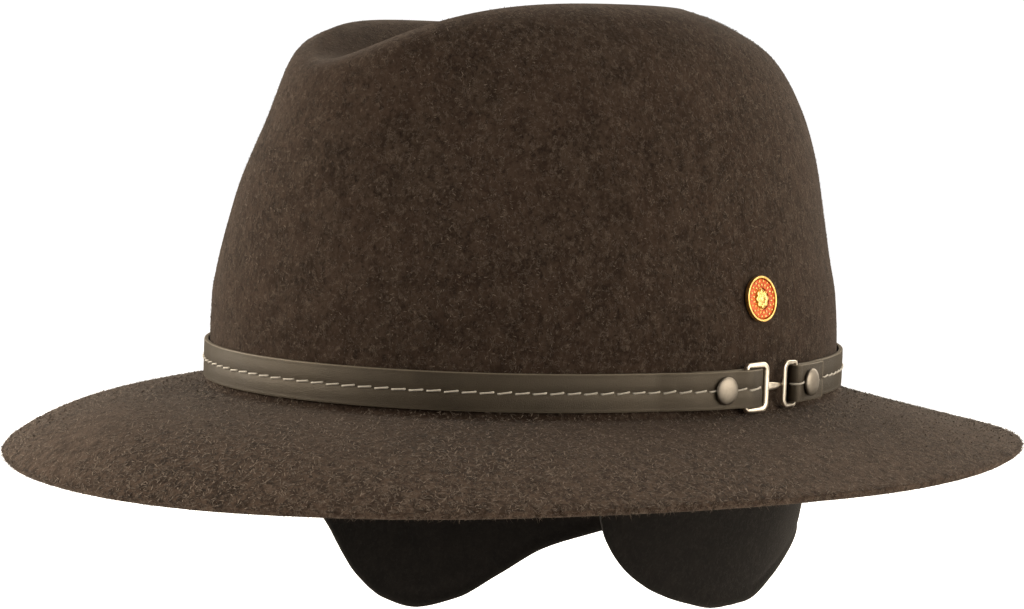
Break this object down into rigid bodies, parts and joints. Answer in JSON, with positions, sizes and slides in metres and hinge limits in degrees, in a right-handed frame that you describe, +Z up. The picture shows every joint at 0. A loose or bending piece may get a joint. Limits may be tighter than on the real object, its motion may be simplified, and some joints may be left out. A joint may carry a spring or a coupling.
{
  "type": "hat",
  "caption": "Brown wool-felt hiking hat with a pinched teardrop crown, sloping brim, leather band with a hook clasp, enamel pin and fold-down ear flaps",
  "frame": {"origin": "Centre of the head opening, at the height where the brim leaves the crown", "axes": "+Z up, -Y is the front of the hat, +X is the wearer's left"},
  "size_m": [0.2896, 0.3349, 0.204],
  "materials": {
    "felt": "mottled dark brown wool felt with a light nap",
    "flap_cloth": "matte black",
    "band_leather": "smooth taupe grain",
    "clasp_metal": "polished pale nickel",
    "rivet_metal": "satin, slightly worn",
    "pin_metal": "polished gold tone",
    "pin_enamel": "glossy red-orange enamel"
  },
  "bodies": {
    "root": {"felt_body": "felt", "ear_flap_band": "flap_cloth", "hat_band": "band_leather", "hook_ring": "clasp_metal", "eye_ring": "clasp_metal", "rivet_front": "rivet_metal", "rivet_rear": "rivet_metal", "badge_dish": "pin_metal", "badge_enamel": "pin_enamel", "badge_clutch": "clasp_metal"}
  },
  "joints": []
}
